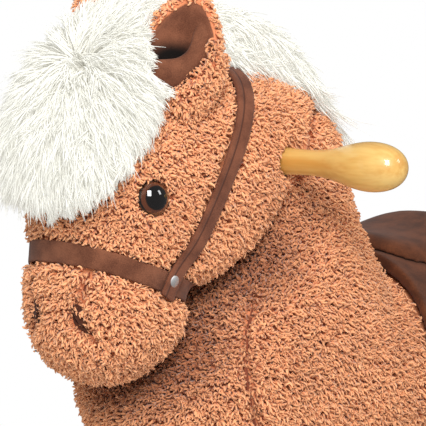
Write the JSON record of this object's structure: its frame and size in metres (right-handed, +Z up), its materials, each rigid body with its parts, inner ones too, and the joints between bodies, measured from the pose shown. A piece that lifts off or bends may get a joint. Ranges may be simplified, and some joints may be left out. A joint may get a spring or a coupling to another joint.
{
  "type": "rocking horse",
  "caption": "Plush-covered rocking horse with bridle, saddle and a turned wooden handle, on two bowed wooden runners joined by slats and a footrest.",
  "frame": {"origin": "on the floor, under the middle of the two runners", "axes": "+X forward, the way the horse looks; +Y the horse's left, along the handle; +Z up"},
  "size_m": [0.66, 0.33, 0.5388],
  "materials": {
    "varnished_wood": "clear gloss varnish",
    "frame_wood": "bare, sanded",
    "coat_plush": "curly sherpa pile over wadding",
    "white_pile": "long straight pile",
    "brown_velour": "short velour",
    "saddle_cloth": "short velour",
    "eye_plastic": "polished dome",
    "washer_plastic": "moulded",
    "nostril_cloth": "dark felt",
    "steel": "nickel plated"
  },
  "bodies": {
    "horse": {"runner_left": "varnished_wood", "runner_right": "varnished_wood", "front_slat": "varnished_wood", "rear_slat": "varnished_wood", "footrest_board": "varnished_wood", "handle_grip_left": "varnished_wood", "handle_grip_right": "varnished_wood", "seat_board": "frame_wood", "neck_board": "frame_wood", "neck_cleats": "frame_wood", "post_front_left": "frame_wood", "post_front_right": "frame_wood", "post_rear_left": "frame_wood", "post_rear_right": "frame_wood", "board_screws": "steel", "seat_board_screws": "steel", "cleat_screws": "steel", "leg_bolts": "steel", "leg_washers": "steel", "handle_rod": "steel", "rod_nuts": "steel", "bridle_rivets": "steel", "stuffed_body": "coat_plush", "stuffed_head": "coat_plush", "ear_left": "coat_plush", "ear_right": "coat_plush", "stuffed_leg_front_left": "coat_plush", "stuffed_leg_front_right": "coat_plush", "stuffed_leg_rear_left": "coat_plush", "stuffed_leg_rear_right": "coat_plush", "mane": "white_pile", "forelock": "white_pile", "ear_lining_left": "brown_velour", "ear_lining_right": "brown_velour", "noseband": "brown_velour", "chin_strap": "brown_velour", "headstall": "brown_velour", "girth": "brown_velour", "hoof_front_left": "brown_velour", "hoof_front_right": "brown_velour", "hoof_rear_left": "brown_velour", "hoof_rear_right": "brown_velour", "saddle_skirt": "saddle_cloth", "saddle_cushion": "saddle_cloth", "eye_left": "eye_plastic", "eye_right": "eye_plastic", "eye_washers": "washer_plastic", "nostrils": "nostril_cloth"},
    "tail": {"tail": "white_pile"}
  },
  "joints": [
    {"name": "tail_swing", "type": "hinge", "parent": "horse", "child": "tail", "pos_m": [-0.233, 0, 0.293], "axis": [0, 1, 0], "range_deg": [0, 60]}
  ]
}
